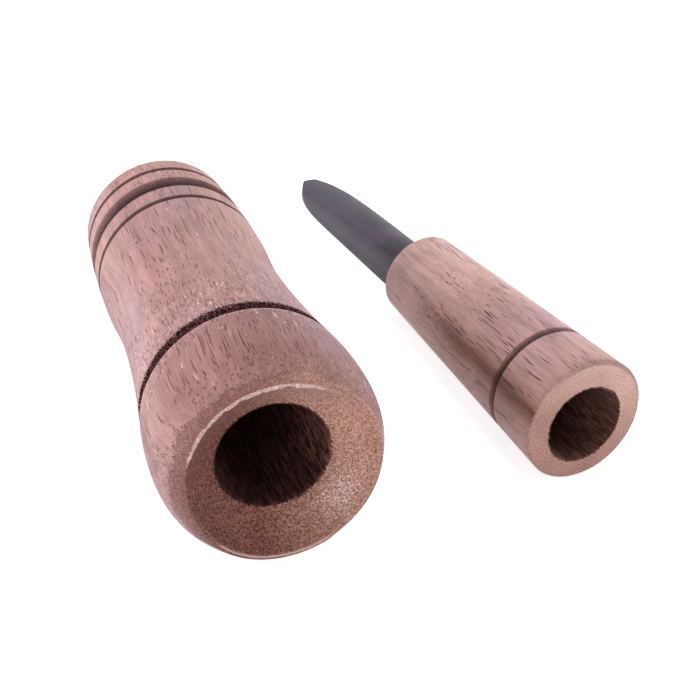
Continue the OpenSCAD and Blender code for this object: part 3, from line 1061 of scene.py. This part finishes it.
# the face's chamfer gets a painted highlight on one arc and painted shade on another
RIM_HIGHLIGHT_ROUND, RIM_HIGHLIGHT_SHARE = (15, 25, 25), 0.4
RIM_SHADE_ROUND, RIM_SHADE_SHARE = (110, 35, 30), 0.5
RIM_SCORCHED = (0, 0.05, 0.4)
# painted shade on the floor of the insert's groove
INSERT_SHADE, INSERT_SHADE_HALF, INSERT_SHADE_FADE = 0.9, 0.26, 0.28
OUTER_WALL = 1.0


def insert_marks(co):
    r, z = math.hypot(co.x, co.y), co.z
    bore_gap = math.hypot(co.x, co.y + EXHAUST_OFF) - EXHAUST_R
    marks = {}
    if bore_gap < HAIR and z < step_at + HAIR or r < TONE_BORE_R + HAIR:
        marks["drilled"] = 1.0
    elif z < INSERT_CHAMFER + HAIR:
        marks["drilled"] = within(bore_gap, *RIM_SCORCHED)
        # a painted highlight and painted shade on two arcs of the chamfer
        marks["worn"] = RIM_HIGHLIGHT_SHARE * within(r, *RIM_BAND) * facing(co, *RIM_HIGHLIGHT_ROUND)
        marks["soot"] = RIM_SHADE_SHARE * within(r, *RIM_BAND) * facing(co, *RIM_SHADE_ROUND)
    if z > INSERT_CHAMFER and bore_gap > OUTER_WALL:
        marks["soot"] = INSERT_SHADE * groove_shade(z, INSERT_GROOVE, INSERT_SHADE_HALF, INSERT_SHADE_FADE)
        marks["sanded"] = 1.0
    return marks


mark_verts(bm, insert_marks)
mark_shaded_recesses(bm, insert_grooves, EXHAUST_R - EXHAUST_OFF)

# %% A torn rim round the exhaust bore
# the drill tears end grain as it breaks in, so the rim is nicked by up to some tenths of a millimetre
NICK_DEPTH, NICKS = 0.5, (1.3, 3.1, 0.4)
NICKED_ACROSS, NICKED_ALONG = (0, 0.02, 0.6), (0, 0.01, 0.7)
for vert in bm.verts:
    from_bore = Vector((vert.co.x, vert.co.y + EXHAUST_OFF, 0))
    reach = within(from_bore.length - EXHAUST_R, *NICKED_ACROSS) * within(vert.co.z, *NICKED_ALONG)
    vert.co += from_bore.normalized() * NICK_DEPTH * splinters(vert.co, *NICKS) * reach
finish_piece(bm, "insert_turned", on_insert, "insert", ["insert_body"], [insert_walnut, insert_recess_walnut])

# %% [markdown]
# ## The tone board, the wedge and the reed
# The board is injection moulded, so no edge of it is sharp: the tool's edges are rounded by a
# tenth of a millimetre or two, and its skin is satin. The CAD mesh is loose triangles, so a copy of
# it is merged, its flat stretches are joined, and its sharp edges are bevelled.

# %% A merged copy with softened edges
SHARP_ANGLE, FLAT_ANGLE = math.radians(32), math.radians(0.6)
CAD_SEAM = 0.002


def softened(node, name, width, material, body):
    """a merged copy of a CAD node with each sharp edge bevelled"""
    bm = bmesh.new()
    bm.from_mesh(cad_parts[node].data)
    bmesh.ops.transform(bm, matrix=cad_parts[node].matrix_world, verts=bm.verts)
    bmesh.ops.remove_doubles(bm, verts=bm.verts, dist=CAD_SEAM * MM)
    bmesh.ops.dissolve_limit(bm, angle_limit=FLAT_ANGLE, verts=bm.verts, edges=bm.edges)
    sharp = [e for e in bm.edges if e.is_manifold and e.calc_face_angle() > SHARP_ANGLE]
    bmesh.ops.bevel(
        bm,
        geom=sharp,
        offset=width * MM,
        offset_type="OFFSET",
        affect="EDGES",
        segments=3,
        profile=0.5,
        material=-1,
        clamp_overlap=True,
    )
    print(node, len(sharp), "sharp edges bevelled,", len(bm.verts), "verts")
    # this copy is already in metres and in its place
    in_place = Matrix.Identity(4)
    finish_piece(bm, name, in_place, body, [node], [material], MERGE_WITHIN * MM)


# %% [markdown]
# ### Moulded plastic
# The board comes out of a steel mould whose eroded skin leaves it satin. It is nearly black near
# the wood, where painted shade darkens it, paler and scratched towards the tip, with painted light
# on one edge, and dried breath leaves a violet bloom in patches.

# %% Moulded plastic
CLOUD_SIZE, BLOOM_SIZE, SKIN_SIZE = 5, 7, 0.12
SCRATCHES = (0.08, 6, 2.0, 0.5)
# painted shade near the wood, the colour towards the tip, the bloom, and painted light on one edge
NEAR_WOOD_SHADE, TIP_COLOUR, BLOOM, LIT_EDGE_COLOUR = "#19151b", "#403e43", "#4d3550", "#5d5b5e"
BLOOM_FROM, BLOOM_TO, BLOOM_MOST = 0.45, 0.62, 0.4
CLOUD_TONES, SATIN, SKIN_DEPTH = (0.84, 1.14), (0.52, 0.66), 0.04
# painted light on the edge of one side: where it starts and where it is strongest, in millimetres
LIT_EDGE_FROM, LIT_EDGE_TO, LIT_EDGE_MOST = 3.0, 4.8, 0.8


def moulded_plastic():
    """dark satin plastic with painted shade near the wood, so it is a little paler towards the tip"""
    material, tree, shader = new_material("plastic_moulded_satin")
    local = local_millimetres(tree, on_insert)
    aside = add_node(tree, "ShaderNodeSeparateXYZ", {0: local})
    along = aside.node.outputs["Z"]
    # painted shade: darker near the wood, paler towards the tip
    tipward = add_node(tree, RANGE, {0: along, 1: INSERT_LEN, 2: INSERT_LEN + BOARD_LEN})
    cloud = add_node(tree, NOISE, {"Vector": local, "Scale": 1 / CLOUD_SIZE, "Detail": 4.0})
    colour = toned(tree, painted(tree, tipward, NEAR_WOOD_SHADE, TIP_COLOUR), cloud, *CLOUD_TONES)
    inputs = {"Vector": local, "Scale": 1 / BLOOM_SIZE, "Detail": 3.0, "Roughness": 0.6}
    bloom = add_node(tree, NOISE, inputs)
    bloom = add_node(tree, RANGE, {0: bloom, 1: BLOOM_FROM, 2: BLOOM_TO, 4: BLOOM_MOST})
    colour = painted(tree, bloom, colour, BLOOM)
    # painted light along one edge of the board
    lit_edge = add_node(tree, RANGE, {0: aside, 1: LIT_EDGE_FROM, 2: LIT_EDGE_TO, 4: LIT_EDGE_MOST})
    tree.links.new(painted(tree, lit_edge, colour, LIT_EDGE_COLOUR), shader.inputs["Base Color"])
    # the mould's skin is finely eroded, and the stretch towards the tip has fine scratches along it
    skin = add_node(tree, NOISE, {"Vector": local, "Scale": 1 / SKIN_SIZE, "Detail": 2.0})
    scratches = stretched_noise(tree, local, *SCRATCHES)
    scratches = add_node(tree, MATH, {0: scratches, 1: tipward}, operation="MULTIPLY")
    relief = add_node(tree, MATH, {0: skin, 1: scratches}, operation="ADD")
    inputs = {"Height": relief, "Strength": 0.5, "Distance": SKIN_DEPTH * MM}
    tree.links.new(add_node(tree, "ShaderNodeBump", inputs), shader.inputs["Normal"])
    dull = add_node(tree, RANGE, {0: cloud, 1: NOISE_LOW, 2: NOISE_HIGH, 3: SATIN[0], 4: SATIN[1]})
    tree.links.new(dull, shader.inputs["Roughness"])
    shader.inputs["Specular IOR Level"].default_value = 0.2
    return material


# %% [markdown]
# ### Cut cork
# Cork is bark. Pressed and cut, it shows rounded grains in two browns with dark gaps between them,
# and it is quite dull. Cells of a Voronoi pattern are grains already, so they give both.

# %% Cut cork
GRAIN_SIZE, SPECK_SIZE = 0.9, 0.25
GAP_FROM, GAP_TO = 0.02, 0.09
CORK_DARK, CORK_PALE, CORK_GAP = "#a5764a", "#d0a274", "#5d3a22"
SPECK_TONES, CORK_DEPTH = (0.8, 1.12), 0.08


def cut_cork():
    """pressed grains of bark with dark gaps between them"""
    material, tree, shader = new_material("cork_cut")
    local = local_millimetres(tree, on_insert)
    cells = {"Vector": local, "Scale": 1 / GRAIN_SIZE}
    grains = add_node(tree, VORONOI, {**cells, "Randomness": 1.0})
    grain_tone = add_node(tree, "ShaderNodeSeparateColor", {0: grains.node.outputs["Color"]})
    colour = painted(tree, grain_tone, CORK_DARK, CORK_PALE)
    gaps = add_node(tree, VORONOI, cells, feature="DISTANCE_TO_EDGE")
    gap = add_node(tree, RANGE, {0: gaps, 1: GAP_FROM, 2: GAP_TO, 3: 1.0, 4: 0.0})
    colour = painted(tree, gap, colour, CORK_GAP)
    speck = add_node(tree, NOISE, {"Vector": local, "Scale": 1 / SPECK_SIZE, "Detail": 3.0})
    colour = toned(tree, colour, speck, *SPECK_TONES)
    tree.links.new(colour, shader.inputs["Base Color"])
    relief = add_node(tree, MATH, {0: speck, 1: gap}, operation="SUBTRACT")
    inputs = {"Height": relief, "Strength": 0.7, "Distance": CORK_DEPTH * MM}
    tree.links.new(add_node(tree, "ShaderNodeBump", inputs), shader.inputs["Normal"])
    shader.inputs["Roughness"].default_value = 0.85
    shader.inputs["Specular IOR Level"].default_value = 0.25
    return material


# %% [markdown]
# ### Frosted film
# The reed is polyester film, frosted so that breath doesn't stick it to the board. Frost shows as
# roughness that changes from grain to grain. The film is too thin for a rounded edge to show, so the
# CAD nodes stay and only get this material.

# %% Frosted film
FROST_SIZE, FILM_CLOUD_SIZE = 0.1, 4
FILM_DULL, FILM_PALE = "#cfc8b8", "#e0dbcf"
FROSTED, FROST_DEPTH = (0.3, 0.48), 0.02
POLYESTER_IOR = 1.58


def frosted_film():
    """pale film whose frost changes from grain to grain"""
    material, tree, shader = new_material("film_frosted_polyester")
    local = local_millimetres(tree, on_insert)
    frost = add_node(tree, NOISE, {"Vector": local, "Scale": 1 / FROST_SIZE, "Detail": 2.0})
    cloud = add_node(tree, NOISE, {"Vector": local, "Scale": 1 / FILM_CLOUD_SIZE, "Detail": 3.0})
    tree.links.new(painted(tree, cloud, FILM_DULL, FILM_PALE), shader.inputs["Base Color"])
    dull = add_node(tree, RANGE, {0: frost, 1: NOISE_LOW, 2: NOISE_HIGH, 3: FROSTED[0], 4: FROSTED[1]})
    tree.links.new(dull, shader.inputs["Roughness"])
    inputs = {"Height": frost, "Strength": 0.2, "Distance": FROST_DEPTH * MM}
    tree.links.new(add_node(tree, "ShaderNodeBump", inputs), shader.inputs["Normal"])
    shader.inputs["IOR"].default_value = POLYESTER_IOR
    return material


# %% Small parts
BOARD_EDGE, WEDGE_EDGE = 0.16, 0.12
softened("toneboard", "toneboard_moulded", BOARD_EDGE, moulded_plastic(), "insert")
softened("wedge", "wedge_cut", WEDGE_EDGE, cut_cork(), "insert")
film = frosted_film()
for node in ("reed_root", "reed_tongue"):
    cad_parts[node].data.materials.clear()
    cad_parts[node].data.materials.append(film)
print("reed in", film.name)

# %% [markdown]
# ## Floor, light and background
# The call lies on a flat sheet of white paper before a white backdrop. Real paper under soft lamps
# is only light grey, so the sheet glows, though only to the camera and in reflections. It glows
# less near the call, where its shadow stays, and fully further off. The world is white in the same
# way, so neither gives any diffuse light.


# %% What the camera sees
def seen_share(tree):
    """1 for rays of the camera, and for those that metal and glass show, and 0 for the rest"""
    path = add_node(tree, "ShaderNodeLightPath").node.outputs
    seen = {0: path["Is Camera Ray"], 1: path["Is Glossy Ray"]}
    seen = {0: add_node(tree, MATH, seen, operation="MAXIMUM"), 1: path["Is Transmission Ray"]}
    return add_node(tree, MATH, seen, operation="MAXIMUM")


# %% The sheet of paper
FLOOR_SIZE = 3.0
PAPER_GREY = (0.8, 0.8, 0.8, 1)
# the glow's strength near the object and far from it, and where it changes, in metres
NEAR_GLOW, FAR_GLOW = 0.78, 1.0
GLOW_NEAR, GLOW_FAR = 0.2, 0.6
bm = bmesh.new()
bmesh.ops.create_grid(bm, x_segments=1, y_segments=1, size=FLOOR_SIZE)
floor_mesh = bpy.data.meshes.new("floor")
bm.to_mesh(floor_mesh)
bm.free()
floor = bpy.data.objects.new("floor", floor_mesh)
bpy.context.scene.collection.objects.link(floor)
floor_paper, tree, shader = new_material("floor_white_paper")
shader.inputs["Base Color"].default_value = PAPER_GREY
shader.inputs["Roughness"].default_value = 1.0
shader.inputs["Specular IOR Level"].default_value = 0.0
here = add_node(tree, "ShaderNodeTexCoord").node.outputs["Object"]
away = add_node(tree, VECTOR, {0: here}, operation="LENGTH").node.outputs["Value"]
sheet = add_node(tree, RANGE, {0: away, 1: GLOW_NEAR, 2: GLOW_FAR, 3: NEAR_GLOW, 4: FAR_GLOW})
glow = add_node(tree, MATH, {0: seen_share(tree), 1: sheet}, operation="MULTIPLY")
shader.inputs["Emission Color"].default_value = (1, 1, 1, 1)
tree.links.new(glow, shader.inputs["Emission Strength"])
floor_mesh.materials.append(floor_paper)

# %% The world
world = bpy.data.worlds.new("studio_white")
bpy.context.scene.world = world
world.use_nodes = True
background = world.node_tree.nodes["Background"]
background.inputs["Color"].default_value = (1, 1, 1, 1)
world.node_tree.links.new(seen_share(world.node_tree), background.inputs["Strength"])

# %% [markdown]
# ### Lamps
# Large square boxes of light stand on a sphere round the call, low at the sides and high above, as in
# a light tent, so the wood's relief is lit from all round and no highlight is hard. The strongest
# stands on the left and is faintly violet, as the light in the photograph is.

# %% Lamps
LAMP_REACH, LAMP_SIDE = 0.8, 0.45
WHITE, LILAC, VIOLET_WHITE = "#ffffff", "#f7f0fc", "#f0e6ff"
# name, heading and height in degrees, power in watts and colour; heading 0 is behind, 90 is right
LAMPS = [
    ("key_left", 270, 8, 4.1, VIOLET_WHITE),
    ("fill_front_left", 225, 6, 1.8, WHITE),
    ("fill_front", 185, 6, 1.0, WHITE),
    ("fill_front_right", 135, 15, 1.3, WHITE),
    ("side_right", 90, 12, 1.5, LILAC),
    ("rim_back_right", 45, 20, 2.1, LILAC),
    ("rim_back", 0, 30, 1.65, LILAC),
    ("rim_back_left", 315, 20, 1.8, LILAC),
    ("overhead", 0, 88, 3.5, WHITE),
]


def soft_box(name, heading, height, power, colour):
    """a square lamp on a sphere round the object, turned towards it"""
    data = bpy.data.lights.new(name, "AREA")
    data.size = LAMP_SIDE
    data.energy = power
    data.color = linear(colour)[:3]
    a, e = math.radians(heading), math.radians(height)
    at = Vector((math.sin(a) * math.cos(e), math.cos(a) * math.cos(e), math.sin(e))) * LAMP_REACH
    lamp = bpy.data.objects.new(name, data)
    towards = (-at).to_track_quat("-Z", "Y").to_matrix().to_4x4()
    lamp.matrix_world = Matrix.Translation(at) @ towards
    bpy.context.scene.collection.objects.link(lamp)


for lamp in LAMPS:
    soft_box(*lamp)
print(len(LAMPS), "lamps")

# %% The end
bpy.context.scene.view_settings.view_transform = "Standard"
